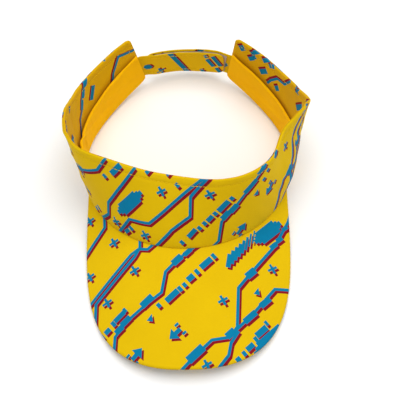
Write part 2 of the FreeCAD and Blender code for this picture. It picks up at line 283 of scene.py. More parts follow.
def clothSheet(name, outline, mapper, shapes, thickness, materials, side=1, spacing=3.0, rows=(),
               bothSides=False):
    # a thin closed sheet cut to outline, laid by mapper, with printed shapes as real outlines;
    # shapes is a list of (ink number, outline); side is +1 when the mapper's normal looks outwards
    cutLine = np.asarray(outline, float)
    outline = densify(counterClockwise(outline), 2.5)
    low, high = outline.min(0), outline.max(0)
    xs = np.arange(low[0] + spacing / 2, high[0], spacing)
    ys = np.arange(low[1] + spacing / 2, high[1], spacing * 0.87)
    grid = np.array([(x + (j % 2) * spacing / 2, y) for j, y in enumerate(ys) for x in xs])
    loops = [outline] + [densify(counterClockwise(shape), 3.0) for _, shape in shapes]
    points, faces = [], []
    for loop in loops:
        faces.append(list(range(len(points), len(points) + len(loop))))
        points += list(loop)
    constraint = []
    for row in rows:
        start = len(points)
        points += list(row)
        constraint += [(i, i + 1) for i in range(start, len(points) - 1)]
    points += list(grid)
    verts, _, triangles, _, _, origins = delaunay_2d_cdt(
        [Vector(p) for p in points], constraint, faces, 0, 1e-5)
    inkOf = [0] + [ink for ink, _ in shapes]
    flat = np.array([tuple(v) for v in verts])
    kept, slots = [], []
    for triangle, origin in zip(triangles, origins):
        if 0 not in origin:
            continue
        inks = [inkOf[i] for i in origin if i > 0]
        kept.append(triangle)
        slots.append(min(inks) if inks else 0)
    used, kept = np.unique(kept, return_inverse=True)
    flat, kept = flat[used], kept.reshape(-1, 3).tolist()
    face = mapper(flat)
    back = face - normalsOf(mapper, flat) * side * thickness
    count = len(flat)
    edges = dict.fromkeys((t[i], t[(i + 1) % 3]) for t in kept for i in range(3))
    rim = [(a, b) for a, b in edges if (b, a) not in edges]
    allFaces = kept + [[i + count for i in reversed(triangle)] for triangle in kept]
    allFaces += [[b, a, a + count, b + count] for a, b in rim]
    if side < 0:
        allFaces = [list(reversed(face)) for face in allFaces]
    allSlots = slots + (slots if bothSides else [0] * len(slots)) + [0] * len(rim)
    obj = addMesh(name, np.concatenate([face, back]), allFaces, materials, allSlots,
                  np.concatenate([flat, flat]))
    sharp = obj.data.attributes.new("sharp_edge", "BOOLEAN", "EDGE")
    rimKeys = {frozenset(pair) for pair in rim}
    sharp.data.foreach_set("value", [frozenset(e.vertices) in rimKeys for e in obj.data.edges])
    print(name, len(allFaces), "faces")
    declareCloth(cutLine)
    return obj


def sweep(rings):
    # a closed skin through rings of points
    points = np.concatenate(rings)
    size = len(rings[0])
    faces = []
    for start in range(0, len(points) - size, size):
        for j in range(size):
            k = (j + 1) % size
            faces.append([start + j, start + k, start + size + k, start + size + j])
    faces.append(list(reversed(range(size))))
    faces.append(list(range(len(points) - size, len(points))))
    return points, outwards(points, faces)


def outwards(points, faces):
    # turns every face of a closed skin outwards
    p = np.asarray(points)
    volume = 0
    for face in faces:
        for i in range(1, len(face) - 1):
            volume += np.dot(p[face[0]], np.cross(p[face[i]], p[face[i + 1]]))
    return faces if volume > 0 else [list(reversed(face)) for face in faces]


def hexColour(text):
    def linear(c):
        return c / 12.92 if c <= 0.04045 else ((c + 0.055) / 1.055) ** 2.4
    return [linear(int(text[i:i + 2], 16) / 255) for i in (1, 3, 5)] + [1.0]


def addNode(tree, kind, *values, output=0, **settings):
    # values go to the node's inputs in order and settings by name; sockets among them are linked
    node = tree.nodes.new("ShaderNode" + kind)
    for key, value in [*settings.items(), *enumerate(values)]:
        if isinstance(value, bpy.types.NodeSocket):
            tree.links.new(value, node.inputs[key])
        elif isinstance(key, str) and key not in node.inputs:
            setattr(node, key, value)
        elif value is not None:
            node.inputs[key].default_value = value
    return node.outputs[output] if node.outputs else None


def addMix(tree, share, low, high):
    unused = [None] * 5
    return addNode(tree, "Mix", share, *unused, low, high, output=2, data_type="RGBA")


def emptyMaterial(name):
    material = bpy.data.materials.new(name)
    material.use_nodes = True
    material.node_tree.nodes.clear()
    return material, material.node_tree


def clothMaterial(name, colours, **changes):
    # woven cloth: over-under threads as bump, slightly darker between them, with soft fuzz
    material, tree = emptyMaterial(name)
    look = dict(clothLook, **changes)
    colour, deep, gap = [hexColour(text) for text in colours]
    flat = addNode(tree, "UVMap", uv_map="flat")
    turns = 2 * math.pi / (look["threadSpacing"] * mm)
    threads = []
    for way in (0, 1):
        along = addNode(tree, "SeparateXYZ", flat, output=way)
        along = addNode(tree, "Math", along, turns, operation="MULTIPLY")
        threads.append(addNode(tree, "Math", along, operation="SINE"))
    weave = addNode(tree, "Math", *threads, operation="MULTIPLY")
    slubScale = 1 / (look["slubLength"] * mm)
    slub = addNode(tree, "TexNoise", flat, Scale=slubScale, Detail=3.0, Roughness=0.6)
    fuzz = addNode(tree, "TexNoise", flat, Scale=1 / (0.6 * mm), Detail=2.0)
    cloud = addNode(tree, "TexNoise", flat, Scale=1 / (35 * mm), Detail=2.0)
    height = addNode(tree, "Math", weave, 0.5, fuzz, operation="MULTIPLY_ADD")
    shade = addNode(tree, "Math", slub, 0.35, cloud, operation="MULTIPLY_ADD")
    body = addMix(tree, addNode(tree, "MapRange", shade, 0.3, 1.05, 0.0, 1.0), deep, colour)
    shown = addNode(tree, "MapRange", weave, -1.0, 1.0, 0.0, look["threadShade"])
    low, high = look["roughness"] - 0.06, look["roughness"] + 0.06
    addNode(tree, "OutputMaterial", addNode(tree, "BsdfPrincipled", **{
        "Base Color": addMix(tree, shown, body, gap), "IOR": 1.46, "Specular IOR Level": 0.12,
        "Roughness": addNode(tree, "MapRange", fuzz, 0.0, 1.0, low, high),
        "Normal": addNode(tree, "Bump", Strength=look["bump"], Distance=0.15 * mm, Height=height),
        "Sheen Weight": look["sheen"], "Sheen Roughness": 0.45}))
    return material


# The cloth's real thread spacing is about 0.35 mm; it is drawn at 0.8 mm so that it shows.
clothLook = {
    "threadSpacing": 0.8, "slubLength": 4.0, "threadShade": 0.16, "bump": 0.35, "roughness": 0.85,
    "sheen": 0.02,
}
# dry, even woven ground
yellowCloth = clothMaterial("PrintedPolyCottonYellow", ("#e3bd00", "#dab300", "#b48a00"))
# the same weave under pigment ink, and under dark ink
blueCloth = clothMaterial("PrintedPolyCottonBlue", ("#0080ab", "#00749e", "#005878"))
redCloth = clothMaterial("PrintedPolyCottonRed", ("#901020", "#820c1a", "#640a12"))
# the lining is the outside's yellow cloth painted a warmer, deeper yellow: painted shade inside the
# band and a painted warm reflection of the orange sweatband
shadedLiningCloth = clothMaterial("PrintedPolyCottonYellowLiningPaintedShade", ("#dfae00", "#d5a400", "#b58600"))
printInks = [yellowCloth, blueCloth, redCloth]
shadedLiningInks = [shadedLiningCloth, blueCloth, redCloth]
# soft plain cloth over foam, a little fuzzy
sweatCloth = clothMaterial("BrushedCottonOrange", ("#fdc400", "#f5b800", "#dc9a00"),
                           bump=0.45, roughness=0.9, sheen=0.0, slubLength=6.0)
# stiff open weave
buckramCloth = clothMaterial("FusedBuckramWhite", ("#ecebe4", "#dfddd4", "#b9b7ad"),
                             threadSpacing=1.2, bump=0.6, sheen=0.0)
# twisted plies give a fine rope look
sewingThread = clothMaterial("SpunPolyesterThread", ("#f0cc14", "#e6be08", "#c9a200"),
                             threadSpacing=0.5, bump=0.5, threadShade=0.25, roughness=0.6)
# pinkish grey pile with a woven back
tapeCloth = clothMaterial("NylonTapeGrey", ("#cbb9b2", "#bda9a2", "#8d7c77"), threadSpacing=0.9,
                          threadShade=0.45, bump=0.9, roughness=0.7, sheen=0.2)
# smooth waxy sheet with faint rolling marks
boardPlastic = clothMaterial("PolyethyleneBoard", ("#e9e7de", "#dedbd0", "#d4d0c4"),
                             threadSpacing=2.5, threadShade=0.05, bump=0.05, roughness=0.5,
                             sheen=0.0)


def turned(points, x, y, angle):
    c, s = math.cos(math.radians(angle)), math.sin(math.radians(angle))
    return [(x + c * u - s * v, y + s * u + c * v) for u, v in points]


def block(x, y, length, width, angle):
    a, b = length / 2, width / 2
    return turned([(-a, -b), (a, -b), (a, b), (-a, b)], x, y, angle)


def trace(points, width):
    # a line of even width with mitred corners
    p = np.array(points, float)
    ahead = unit(np.diff(p, axis=0))
    left = np.stack([-ahead[:, 1], ahead[:, 0]], 1)
    mitre = np.concatenate([left[:1], left[:-1] + left[1:], left[-1:]])
    reach = np.concatenate([left[:1], left[:-1], left[-1:]])
    mitre = mitre / np.sum(mitre * reach, 1, keepdims=True) * width / 2
    return [tuple(q) for q in np.concatenate([p + mitre, (p - mitre)[::-1]])]


def plus(x, y, size, angle):
    return [block(x, y, size, size * 0.25, angle), block(x, y, size * 0.25, size, angle)]


def chip(x, y, length, width, angle):
    # a long block with stepped ends
    shapes = [block(x, y, length, width, angle)]
    for end in (-1, 1):
        for reach, share in ((0.5, 0.62), (0.62, 0.34)):
            centre = turned([(end * length * reach, 0)], x, y, angle)[0]
            shapes.append(block(*centre, length * 0.26, width * share, angle))
    return shapes


def arrow(x, y, size, angle):
    # a stubby arrow with two loose marks behind it
    head = [(size * 0.55, 0), (-size * 0.05, size * 0.5), (-size * 0.05, -size * 0.5)]
    shaft, rightMark, leftMark = turned([
        (-size * 0.25, 0), (-size * 0.55, -size * 0.42), (-size * 0.55, size * 0.42)], x, y, angle)
    return [turned(head, x, y, angle), block(*shaft, size * 0.6, size * 0.34, angle),
            block(*rightMark, size * 0.34, size * 0.2, angle),
            block(*leftMark, size * 0.34, size * 0.2, angle)]


def bars(x, y, count, angle):
    # a row of slanted bars, from nearly touching to thin
    length, pitch, tilt = 11, 4.1, 80
    middles = turned([((i - count / 2) * pitch, 0) for i in range(count)], x, y, angle)
    return [block(*middle, length, pitch * (0.93 - 0.65 * i / (count - 1)), tilt)
            for i, middle in enumerate(middles)]


def printShapes(layout, shift):
    # the blue marks of a layout, then the same marks shifted in red beneath them
    angle = layout["angle"]
    blue = [trace(points, layout.get("traceWidth", 2.3)) for points in layout.get("traces", ())]
    for x, y, length, width in layout.get("blocks", ()):
        blue.append(block(x, y, length, width * 0.8, angle))
    for x, y, length, width in layout.get("chips", ()):
        blue += chip(x, y, length, width, angle)
    for x, y in layout.get("pluses", ()):
        blue += plus(x, y, 8, 28)
    for x, y, heading in layout.get("arrows", ()):
        blue += arrow(x, y, 10, heading)
    for x, y in layout.get("triangles", ()):
        blue.append(turned([(-2.6, -2), (2.2, -3), (1.2, 3)], x, y, 0))
    for x, y, count in layout.get("bars", ()):
        blue += bars(x, y, count, angle + 4)
    red = [[(u + shift[0], v + shift[1]) for u, v in shape] for shape in blue]
    return [(1, shape) for shape in blue] + [(2, shape) for shape in red]


brimPrint = {
    "angle": 42,
    "traces": [
        [(-84, -134), (-75, -126), (-44, -91), (-38, -87), (-31, -88), (-14, -74)],
        [(-71, -146), (-71, -127), (-41, -93), (-37, -86), (-37, -70)],
        [(-92, -100), (-81, -86), (-66, -65), (-67, -48)],
        [(-56, -172), (-55, -154), (-46, -143), (-31, -131), (-20, -123), (-17, -107), (-8, -98),
         (8, -86)],
        [(30, -158), (36, -150), (38, -120), (47, -109), (68, -84), (80, -62), (86, -44)],
        [(-12, -188), (5, -171), (17, -160), (29, -158), (47, -141), (66, -119), (86, -118)],
        [(20, -182), (29, -171), (31, -162), (37, -153)],
    ],
    "blocks": [
        (-47, -143, 9, 6), (-52, -149, 7, 6), (-31, -129, 11, 7), (-8, -98, 9, 7), (0, -92, 7, 5),
        (48, -108, 9, 7), (67, -84, 7, 5), (72, -78, 6, 5), (77, -68, 6, 4), (5, -170, 15, 8),
        (31, -155, 8, 7), (46, -142, 12, 6), (58, -130, 10, 6), (-22, -133, 3, 5),
        (-12, -126, 12, 6), (-6, -121, 3, 6), (-2.5, -118, 3, 5), (2, -112.5, 6, 6),
        (7, -108, 3, 6), (14, -101, 11, 6), (20, -95.5, 3, 6), (-65, -153, 3, 5),
        (-61, -149, 5, 5), (-56.5, -144, 3, 6), (-52, -139, 10, 5), (-48, -134.5, 2.5, 5),
        (36, -174, 4, 5), (40.5, -169.5, 3, 5), (45, -164.5, 7, 5), (49.5, -158.5, 3, 5),
        (54, -152.5, 11, 6), (58, -146, 2.5, 5),
    ],
    "chips": [(63, -73, 19, 11), (62, -158, 24, 12)],
    "pluses": [(-41, -104), (-62, -127), (-58, -79), (-79, -57), (26, -130), (65, -103),
               (13, -178), (-77, -104)],
    "arrows": [(-10, -155, 222), (-38, -168, 48)],
    "triangles": [(-28.5, -142), (52, -122)],
    "bars": [(43, -87, 8)],
}

frontPrint = {
    "angle": 48,
    "traces": [
        [(-124, 8), (-112, 28), (-104, 38), (-72, 54), (-64, 66)],
        [(-80, -2), (-68, 12), (-66, 25), (-56, 40), (-40, 62)],
        [(-60, -2), (-47, 18), (-30, 19), (14, 60)],
        [(-30, -5), (-12, 16), (3, 28), (4, 44), (18, 62)],
        [(14, -6), (25, 4), (27, 22), (36, 32), (48, 49), (60, 65)],
        [(78, -4), (84, 20), (87, 29), (95, 31), (103, 40), (107, 52), (112, 62), (124, 70)],
        [(95, 31), (110, 29), (124, 40), (131, 54)],
        [(96, 30), (100, 13), (106, -4)],
    ],
    "blocks": [
        (30, 27, 8, 7), (36, 32, 8, 7), (48, 49, 13, 6), (95, 32, 9, 7), (56, 61, 8, 6),
        (-6, 52, 3, 5), (-4, 6, 3, 5), (4, 14, 9, 5), (10, 18, 3, 5), (14, 22, 3, 5),
        (18, 26, 6, 5), (22, 30, 3, 5), (28, 36, 11, 6), (34, 42, 3, 5), (-50, 6, 6, 4),
        (-46, 10, 3, 5), (-84, 5, 5, 4), (-80, 10, 3, 5), (-56, 58, 12, 6), (-66, 50, 3, 5),
        (-12, 62, 8, 5), (-28, 62, 9, 4), (116, 16, 5, 4), (122, 56, 5, 4), (60, 50, 3, 4),
        (63, 57, 3, 4), (72, 66, 6, 4),
    ],
    "chips": [(-46, 32, 21, 10), (-108, 5, 14, 8)],
    "pluses": [(-19, 46), (18, 47), (-34, 8), (-60, 10), (-92, 18), (94, 56), (126, 20)],
    "arrows": [(44, 9, 50), (68, 35, 235), (-92, 44, 50)],
    "triangles": [(54, 40), (-100, 58), (112, 44)],
}


def allOverPrint(low, high, seed, angle):
    # the same kinds of marks strewn over a cut that has no laid-out print of its own
    draw = random.Random(seed)
    kinds = ("traces", "blocks", "chips", "pluses", "arrows", "triangles")
    layout = dict({kind: [] for kind in kinds}, angle=angle)
    slope = math.tan(math.radians(angle))
    start = low[0] - (high[1] - low[1]) / slope
    lane = 0
    while start < high[0]:
        x, y = start, low[1] - 4
        if lane % 3 == 0:
            points = [(x, y)]
            while y < high[1] + 4:
                step = draw.uniform(10, 22)
                x, y = x + step, y + step * slope
                points.append((x, y))
                layout["blocks"].append((x, y, draw.uniform(6, 11), draw.uniform(4.5, 6.5)))
                y += draw.uniform(5, 11)
                points.append((x + draw.uniform(-1, 1), y))
            layout["traces"].append(points)
        elif lane % 3 == 1:
            while y < high[1]:
                layout["blocks"].append((x, y, draw.choice([3, 3, 6, 11]), 5.5))
                step = draw.uniform(6, 9)
                x, y = x + step * 0.72, y + step * 0.72 * slope
                if draw.random() < 0.2:
                    x, y = x + 9, y + 9 * slope
        else:
            y += draw.uniform(0, 12)
            while y < high[1]:
                kind = draw.choice(["pluses", "arrows", "triangles", "chips", "pluses"])
                extra = {"arrows": (angle,), "chips": (14, 8)}.get(kind, ())
                layout[kind].append((x + draw.uniform(-3, 3), y) + extra)
                step = draw.uniform(15, 24)
                x, y = x + step / slope * 0.8, y + step
        start += 14
        lane += 1
    return layout


liningPrint = {
    "angle": 132,
    "traces": [
        [(-242, 35), (-223, 43), (-212, 33), (-204, 18)],
        [(-190, 60), (-181, 56), (-176, 51), (-169, 46), (-164, 38), (-156, 34), (-146, 18)],
        [(-120, 70), (-100, 50), (-80, 46), (-60, 26)],
        [(60, 70), (82, 48), (100, 44), (118, 24)],
        [(198, 30), (195, 37), (189, 45), (179, 48), (173, 58)],
        [(242, 62), (230, 56), (224, 58)],
    ],
    "blocks": [
        (-183, 55, 10, 6), (-175, 49, 9, 6), (-167, 42, 9, 6), (-185, 38, 13, 6),
        (-211, 54, 6, 4), (-70, 62, 9, 6), (-40, 40, 8, 6), (-20, 32, 3, 5), (0, 40, 9, 6),
        (30, 34, 6, 5), (-140, 62, 7, 5), (70, 62, 9, 6), (231, 44, 6, 7), (217, 51, 8, 5),
        (219, 45, 4, 9), (220, 40, 7, 5), (206, 51, 8, 5), (200, 50, 3, 5), (197, 52, 3, 5),
        (205, 38, 10, 6), (186, 36, 6, 6), (150, 48, 14, 7), (138, 66, 7, 4),
    ],
    "pluses": [(-122, 44), (160, 59), (14, 54), (-52, 54), (100, 36)],
    "arrows": [(48, 52, 50)],
    "triangles": [(-92, 60)],
}

strapPrint = {
    "angle": -56, "traceWidth": 4.4,
    "traces": [[(20.5, 30), (40.5, -5)]],
    "blocks": [(59.5, 13, 11, 4.5), (65.5, 16, 14, 5), (55.5, 21, 4, 4), (52, 1.5, 5, 4),
               (67, 4, 7, 4.5)],
    "chips": [(3.5, 11, 4, 6)],
    "pluses": [(13.5, 4)],
}


seam = {
    # the cloth's turned-in foot and ends, the sewn groove below the fold and the groove of the ends
    "footHeight": 1.8, "footTurn": 1.3, "endTurn": 1.3, "turnIn": 0.85,
    "groove": 0.32, "grooveWidth": 0.55, "hemRise": 0.22, "pullLength": 3.0, "pull": 0.05,
    "pullWidth": 1.6, "endGroove": 0.3, "endGrooveWidth": 0.6, "endDistance": 5.2,
}


def bandFace(depth, side):
    # outer cloth (side 1) or lining (side -1): rolls over the fold, tucks in at foot and ends
    def mapper(flat):
        s, t = flat[:, 0], flat[:, 1]
        radius = band["foldRadius"]
        height = topHeight(s)
        over = np.clip((t - (height - radius)) / radius, 0, math.pi / 2)
        up = np.where(over > 0, height - radius + radius * np.sin(over), t)
        inset = radius * (1 - np.cos(over))
        toEnd = endLength - np.abs(s)
        foot = seam["footTurn"] * np.clip(1 - t / seam["footHeight"], 0, 1) ** 2
        end = np.clip(1 - toEnd / seam["endTurn"], 0, 1) ** 2
        inset = inset + seam["turnIn"] * np.maximum(foot, end)
        stitched = height - band["stitchDistance"]
        inset = inset + seam["groove"] * hump(t, stitched, seam["grooveWidth"])
        hem = smoothStep((t - stitched) / 2) * smoothStep((height - t) / 2)
        inset = inset - seam["hemRise"] * hem
        pull = np.sin(2 * math.pi * s / seam["pullLength"])
        inset = inset + seam["pull"] * pull * hump(t, stitched, seam["pullWidth"])
        endRow = hump(toEnd, seam["endDistance"], seam["endGrooveWidth"])
        inset = inset + seam["endGroove"] * endRow * smoothStep((height - 5 - t) / 1)
        return bandPoint(s, up, depth + side * inset)
    return mapper


def bandLayer(depth):
    def mapper(flat):
        return bandPoint(flat[:, 0], flat[:, 1], depth)
    return mapper


def bandOutline(hand, top, foot, last=endLength):
    # outline of a cut of one half of the band, top above its fold line and foot above its lower
    # edge; hand is 1 for the right half
    s = np.linspace(0, last, 150)
    s = np.unique(np.concatenate([s, last - np.linspace(0, 6, 14)])) * hand
    low = np.stack([s, np.full(len(s), foot)], 1)
    high = np.stack([s, topHeight(s) + top], 1)
    return np.concatenate([low, high[::-1]])


def bandRows(hand, offsets, heights):
    # lines along the band where the cloth turns sharply, placed from its top and from its foot
    s = np.arange(0.4, endLength - 0.4, 2.0)
    rows = [np.stack([s * hand, topHeight(s) + offset], 1) for offset in offsets]
    rows += [np.stack([s * hand, np.zeros_like(s) + height], 1) for height in heights]
    return rows


sweatband = {
    "depth": 3.0, "thickness": 2.2, "height": 27.0, "rise": 4.0, "footDepth": 4.1, "round": 0.8,
    "endGap": 1.5, "lean": 1.6, "wrinkle": 0.22, "fineWrinkle": 0.12, "pinch": 0.55,
    "groove": 0.55, "stitchHeight": 3.0,
    "creases": [
        (-142, 14, 78, 26, 1.6, 0.9), (-136, 16, 84, 22, 3, -0.8), (-160, 14, 25, 24, 3, 0.5),
        (-186, 12, 12, 26, 3, -0.5), (150, 16, 150, 16, 1.8, 0.8), (143, 14, 140, 14, 1.6, -0.7),
        (156, 10, 155, 14, 1.8, -0.6), (164, 18, 160, 16, 2, 0.6), (178, 12, 168, 20, 2.4, 0.5),
        (200, 15, 172, 24, 3, -0.5), (134, 18, 125, 14, 2, 0.7), (-210, 18, 8, 22, 3, 0.5),
        (-112, 14, 100, 16, 3, 0.6), (-80, 14, 80, 16, 3, -0.5), (-30, 14, 95, 14, 3, 0.5),
        (20, 14, 84, 14, 3, 0.5), (70, 14, 100, 16, 3, -0.5), (108, 14, 85, 16, 3, 0.6),
    ],
}


def sweatbandBottom(s):
    # in front it reaches the brim's underside; behind the temples it ends at the band's foot
    a = np.abs(s)
    turn = np.interp(a, halfLength[:len(frontTurns)], frontTurns)
    drop = brim["thickness"] * np.sqrt(np.clip(np.cos(turn), 0, 1))
    bottom = footHeight(a, sweatband["footDepth"], drop)
    end = np.clip(1 - (endLength - sweatband["endGap"] - a) / 7, 0, 1)
    rounding = 3.5 * (1 - np.sqrt(1 - 0.96 * end ** 2))
    behind = 0.3 * smoothStep((a - templeLength) / 10)
    return np.where(a < templeLength, bottom, behind) + rounding


def sweatbandTop(s):
    share = np.clip((np.abs(s) - templeLength) / (endLength - templeLength), 0, 1)
    return sweatband["height"] + sweatband["rise"] * share


def edgeDistance(points, line):
    # distance from points to a dense line, in runs that keep the tables small
    result = np.zeros(len(points))
    for start in range(0, len(points), 400):
        part = points[start:start + 400]
        result[start:start + 400] = np.sqrt(((part[:, None, :] - line[None]) ** 2).sum(-1)).min(1)
    return result


def brimEdge(inset, count):
    # the brim's outline, inset towards its middle
    turn = np.linspace(0, math.pi / 2, count)
    across = np.cos(turn) ** (2 / brim["sidePower"]) * brim["halfWidth"]
    along = np.sin(turn) ** (2 / brim["frontPower"]) * brim["reach"]
    right = np.stack([across, -brim["sideStart"] - along], 1)
    # resampled evenly, because the powers bunch the points
    length = lengthAlong(right)
    right = lookUp(np.linspace(0, length[-1], count), length, right)
    whole = np.concatenate([right, right[-2::-1] * [-1, 1]])
    ahead = unit(np.gradient(whole, axis=0))
    return whole + np.stack([ahead[:, 1], -ahead[:, 0]], 1) * inset


edgeLine = brimEdge(0.0, 900)


def brimFace(under):
    # top or underside of the brim, rolled over at its edge, with the turned seam faintly raised
    def mapper(flat):
        x, y = flat[:, 0], flat[:, 1]
        radius = brim["edgeRadius"]
        toEdge = edgeDistance(flat, edgeLine)
        inside = np.clip(toEdge, 0, radius)
        roll = radius - np.sqrt(np.maximum(radius ** 2 - (radius - inside) ** 2, 0))
        inwards = roll + brim["weltDepth"] * hump(toEdge, brim["weltPlace"], brim["weltWidth"])
        z = brimHeight(x, y)
        return stack(x, y, z - brim["thickness"] + inwards if under else z - inwards)
    return mapper


def brimCut():
    edge = brimEdge(0.0, 160)
    s = np.linspace(-templeLength, templeLength, 240)
    foot = bandPoint(s, np.zeros_like(s), 2.3)[:, :2]
    foot = foot[foot[:, 1] < -brim["sideStart"] - 0.2]
    outline = np.concatenate([edge, foot])
    rows = [brimEdge(inset, 160)[2:-2] for inset in (0.13, 0.5, 1.0, 1.7, 2.3, 2.9, 3.7)]
    rows = [row[row[:, 1] < -brim["sideStart"] - 3] for row in rows]
    return outline, rows


strap = {
    "thickness": 0.9, "height": 25.0, "sag": 2.5, "hingeGap": 0.5, "settleLength": 10.0,
    "shift": 1.85, "tipRadius": 7.0, "endClearance": 3.0, "rootDepth": 1.1, "tapeThickness": 0.8,
    "tapeMargin": 2.2, "tapeStart": 2.5, "tapeTipGap": 8.0, "tapeGap": 0.1, "insideLength": 3.0,
    "lift": 0.3, "leadLength": 14, "waves": 0.35, "stitchMargin": 1.2,
}

rootPoint = bandPoint(endLength, 0.0, strap["rootDepth"])
rootRadius = math.hypot(rootPoint[0], rootPoint[1])
rootAngle = math.atan2(rootPoint[0], rootPoint[1])
tipAngle = -rootAngle + strap["endClearance"] / band["backDepth"]
strapLength = (rootAngle - tipAngle) * band["backDepth"] - 2 * strap["hingeGap"]
rootUp = halfUp[-1]


def strapPoint(u, v, outward, hand, shift):
    # place on a strap: u from its root, v up from its lower edge, outward from its middle;
    # the part before the hinge lies between the wing's layers
    hinge = 2 * strap["hingeGap"]
    within = bandPoint((endLength + u + hinge) * hand, v + strap["lift"],
                       strap["rootDepth"] - outward)
    d = np.maximum(u, -hinge)
    angle = rootAngle - (d + hinge) / band["backDepth"]
    settled = smoothStep(d / strap["settleLength"])
    lean = unit(rootUp[None] * (1 - settled)[:, None] + np.array([[0, 0, 1.0]]) * settled[:, None])
    drop = (np.cos(angle) - math.cos(rootAngle)) / (1 - math.cos(rootAngle))
    radius = rootRadius + shift * settled
    height = rootPoint[2] + strap["lift"] - strap["sag"] * drop
    low = stack(radius * np.sin(angle), radius * np.cos(angle), height)
    ahead = stack(-np.cos(angle), np.sin(angle), 0.0)
    out = unit(np.cross(ahead, lean))
    lead = bandDrape(np.zeros_like(v) + endLength * hand, v)
    lead = lead * (1 - smoothStep(d / strap["leadLength"]))
    wave = np.sin(u / 11.0) * np.sin(u / 29.0 + v / 19.0) * smoothStep(u / 20)
    push = outward + lead + strap["waves"] * wave
    points = low + lean * v[:, None] + out * push[:, None]
    points[:, 0] *= hand
    return np.where((u < -hinge)[:, None], within, points)


def strapFace(offset, hand, shift):
    def mapper(flat):
        return strapPoint(flat[:, 0], flat[:, 1], offset, hand, shift)
    return mapper


def strapOutline():
    # a strip with both corners rounded at its far end
    turn = np.linspace(0, math.pi / 2, 12)
    radius, start, top = strap["tipRadius"], -strap["insideLength"], strap["height"]
    u = strapLength - radius + radius * np.sin(turn)
    v = radius - radius * np.cos(turn)
    upper = np.stack([u, top - v], 1)[::-1]
    return np.concatenate([[(start, 0)], np.stack([u, v], 1), upper, [(start, top)]])


halves = {1: "right", -1: "left"}


def finishPiece(piece, nodes=(), body=None, hand=0):
    # hides the nodes a piece stands for and attaches it to the body it moves with; a piece with no
    # body crosses one temple and only has its transform baked
    if nodes:
        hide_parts(*nodes)
    if body:
        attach(piece, body)
    else:
        start, end = (0.087 * hand, -0.008, 0.04), (0.09 * hand, 0.008, 0.04)
        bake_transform(piece)
        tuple(start)
        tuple(end)


stitch = {
    "length": 2.5, "gap": 0.5, "radius": 0.24, "lift": 0.05, "rise": 0.14, "dip": 0.22, "sides": 6,
    "rings": (0.0, 0.12, 0.35, 0.65, 0.88, 1.0),
}


def stitchRow(name, mapper, flat, side, nodes=(), body=None, hand=0):
    # a row of single thread stitches along a line on a mapped surface, dipping in at their ends
    line, normals = mapper(flat), normalsOf(mapper, flat) * side
    along = lengthAlong(line)
    pitch = stitch["length"] + stitch["gap"]
    count = int(along[-1] / pitch)
    points, faces = [], []
    rings, sides = np.array(stitch["rings"]), stitch["sides"]
    bulge = 1 - (2 * rings - 1) ** 4
    radius = stitch["radius"] * (0.55 + 0.45 * bulge)
    lift = stitch["lift"] + stitch["rise"] * bulge - stitch["dip"] * (1 - bulge)
    for i in range(count):
        start = (along[-1] - count * pitch) / 2 + i * pitch + stitch["gap"] / 2
        at = start + rings * stitch["length"]
        centre = lookUp(at, along, line)
        normal = unit(lookUp(at, along, normals))
        across = np.cross(normal, unit(np.gradient(centre, axis=0)))
        centre = centre + normal * lift[:, None]
        start = len(points)
        for ring in range(len(rings)):
            for k in range(sides):
                turn = 2 * math.pi * k / sides
                offset = math.cos(turn) * across[ring] * 1.1 + math.sin(turn) * normal[ring] * 0.9
                points.append(centre[ring] + radius[ring] * offset)
        loops = [list(range(start + ring * sides, start + ring * sides + sides))
                 for ring in range(len(rings))]
        skin = [[a[k], a[(k + 1) % sides], b[(k + 1) % sides], b[k]]
                for a, b in zip(loops, loops[1:]) for k in range(sides)]
        skin += [list(reversed(loops[0])), list(loops[-1])]
        if i == 0:
            flip = outwards(points, skin) is not skin
        faces += [list(reversed(face)) for face in skin] if flip else skin
    print(name, count, "stitches")
    row = addMesh(name, points, faces, [sewingThread], None, np.array(points)[:, [0, 2]])
    finishPiece(row, nodes, body, hand)


def bandNodes(hand, part):
    # the right half's pieces also stand for the front's nodes
    if hand > 0:
        return ["right_wing_" + part, "front_" + part]
    return ["left_wing_" + part]


# the layers inside the band, and how the red copy of a print is shifted from the blue
hidden = {
    "interliningDepth": 0.8, "interliningThickness": 0.6, "interliningEnd": 15,
    "allowanceDepth": 2.3, "allowanceThickness": 0.5, "allowanceHeight": 8.0,
    "rootDepth": 0.75, "rootThickness": 0.7, "rootLength": 13, "rootTop": 25.2, "rootMargin": 0.4,
}
blueToRed = {
    "outside": (1.5, -1.8), "lining": (1.5, 1.3), "under": (-1.4, 1.7), "strap": (1.6, 0.7),
}
outsideBand = printShapes(frontPrint, blueToRed["outside"])
for low, high, seed in (((136, 0), (292, 62), 11), ((-292, 0), (-136, 62), 23)):
    outsideBand += printShapes(allOverPrint(low, high, seed, 50), blueToRed["outside"])
insideBand = printShapes(liningPrint, blueToRed["lining"])
topBrim = printShapes(brimPrint, blueToRed["outside"])
underBrim = printShapes(allOverPrint((-86, -186), (86, -25), 5, 45), blueToRed["under"])

for hand, name in halves.items():
    rows = bandRows(hand, (-7.0, -6.5, -6.0, -5.5, -5.0, -1.1, -0.7, -0.3, 0.1), (0.35, 0.8, 1.3))
    outline = bandOutline(hand, 0.5 * band["foldRadius"], 0.0)
    cloth = clothSheet(name + "_outer_cloth", outline, bandFace(0.0, 1), outsideBand,
                       band["clothThickness"], printInks, 1, rows=rows)
    finishPiece(cloth, bandNodes(hand, "outer_panel"), hand=hand)

    # the lining's yellow carries painted shade and a painted warm reflection of the sweatband
    lining = clothSheet(name + "_lining_cloth", outline, bandFace(band["thickness"], -1),
                        insideBand, band["clothThickness"], shadedLiningInks, -1, rows=rows)
    finishPiece(lining, bandNodes(hand, "lining"), hand=hand)

    outline = bandOutline(hand, -1.6, 1.2, endLength - hidden["interliningEnd"])
    stiffener = clothSheet(
        name + "_interlining_cloth", outline, bandLayer(hidden["interliningDepth"]), [],
        hidden["interliningThickness"], [buckramCloth], 1, spacing=5.0)
    finishPiece(stiffener, bandNodes(hand, "interlining"), hand=hand)
print("band done")

